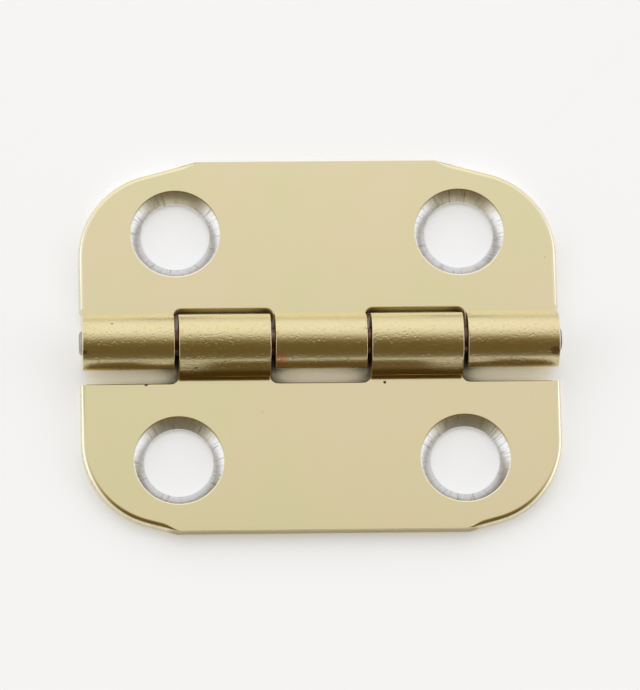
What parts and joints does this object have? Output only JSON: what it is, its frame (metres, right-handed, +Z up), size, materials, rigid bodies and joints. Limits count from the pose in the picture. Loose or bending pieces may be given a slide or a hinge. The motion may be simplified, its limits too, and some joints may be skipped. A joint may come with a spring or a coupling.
{
  "type": "box hinge",
  "caption": "Small brass-plated steel box hinge: two countersunk leaves with rolled, interleaved knuckles that turn on a plain wire pin.",
  "frame": {"origin": "under the middle of the pin, on the plane that the hinge lies on when it is open flat", "axes": "+X along the pin, +Y across the three-knuckle leaf, +Z up out of the countersunk faces"},
  "size_m": [0.0302, 0.024, 0.0035],
  "materials": {
    "brass_plate": "bright brass plate on sheet steel, with bare steel in the countersinks",
    "pin_wire": "drawn steel wire with rounded ends"
  },
  "bodies": {
    "three_knuckle_side": {"three_knuckle_leaf": "brass_plate", "hinge_pin": "pin_wire"},
    "two_knuckle_side": {"two_knuckle_leaf": "brass_plate"}
  },
  "joints": [
    {"name": "leaf_hinge", "type": "hinge", "parent": "three_knuckle_side", "child": "two_knuckle_side", "pos_m": [0, 0, 0.00176], "axis": [-1, 0, 0], "range_deg": [-102, 187]}
  ]
}
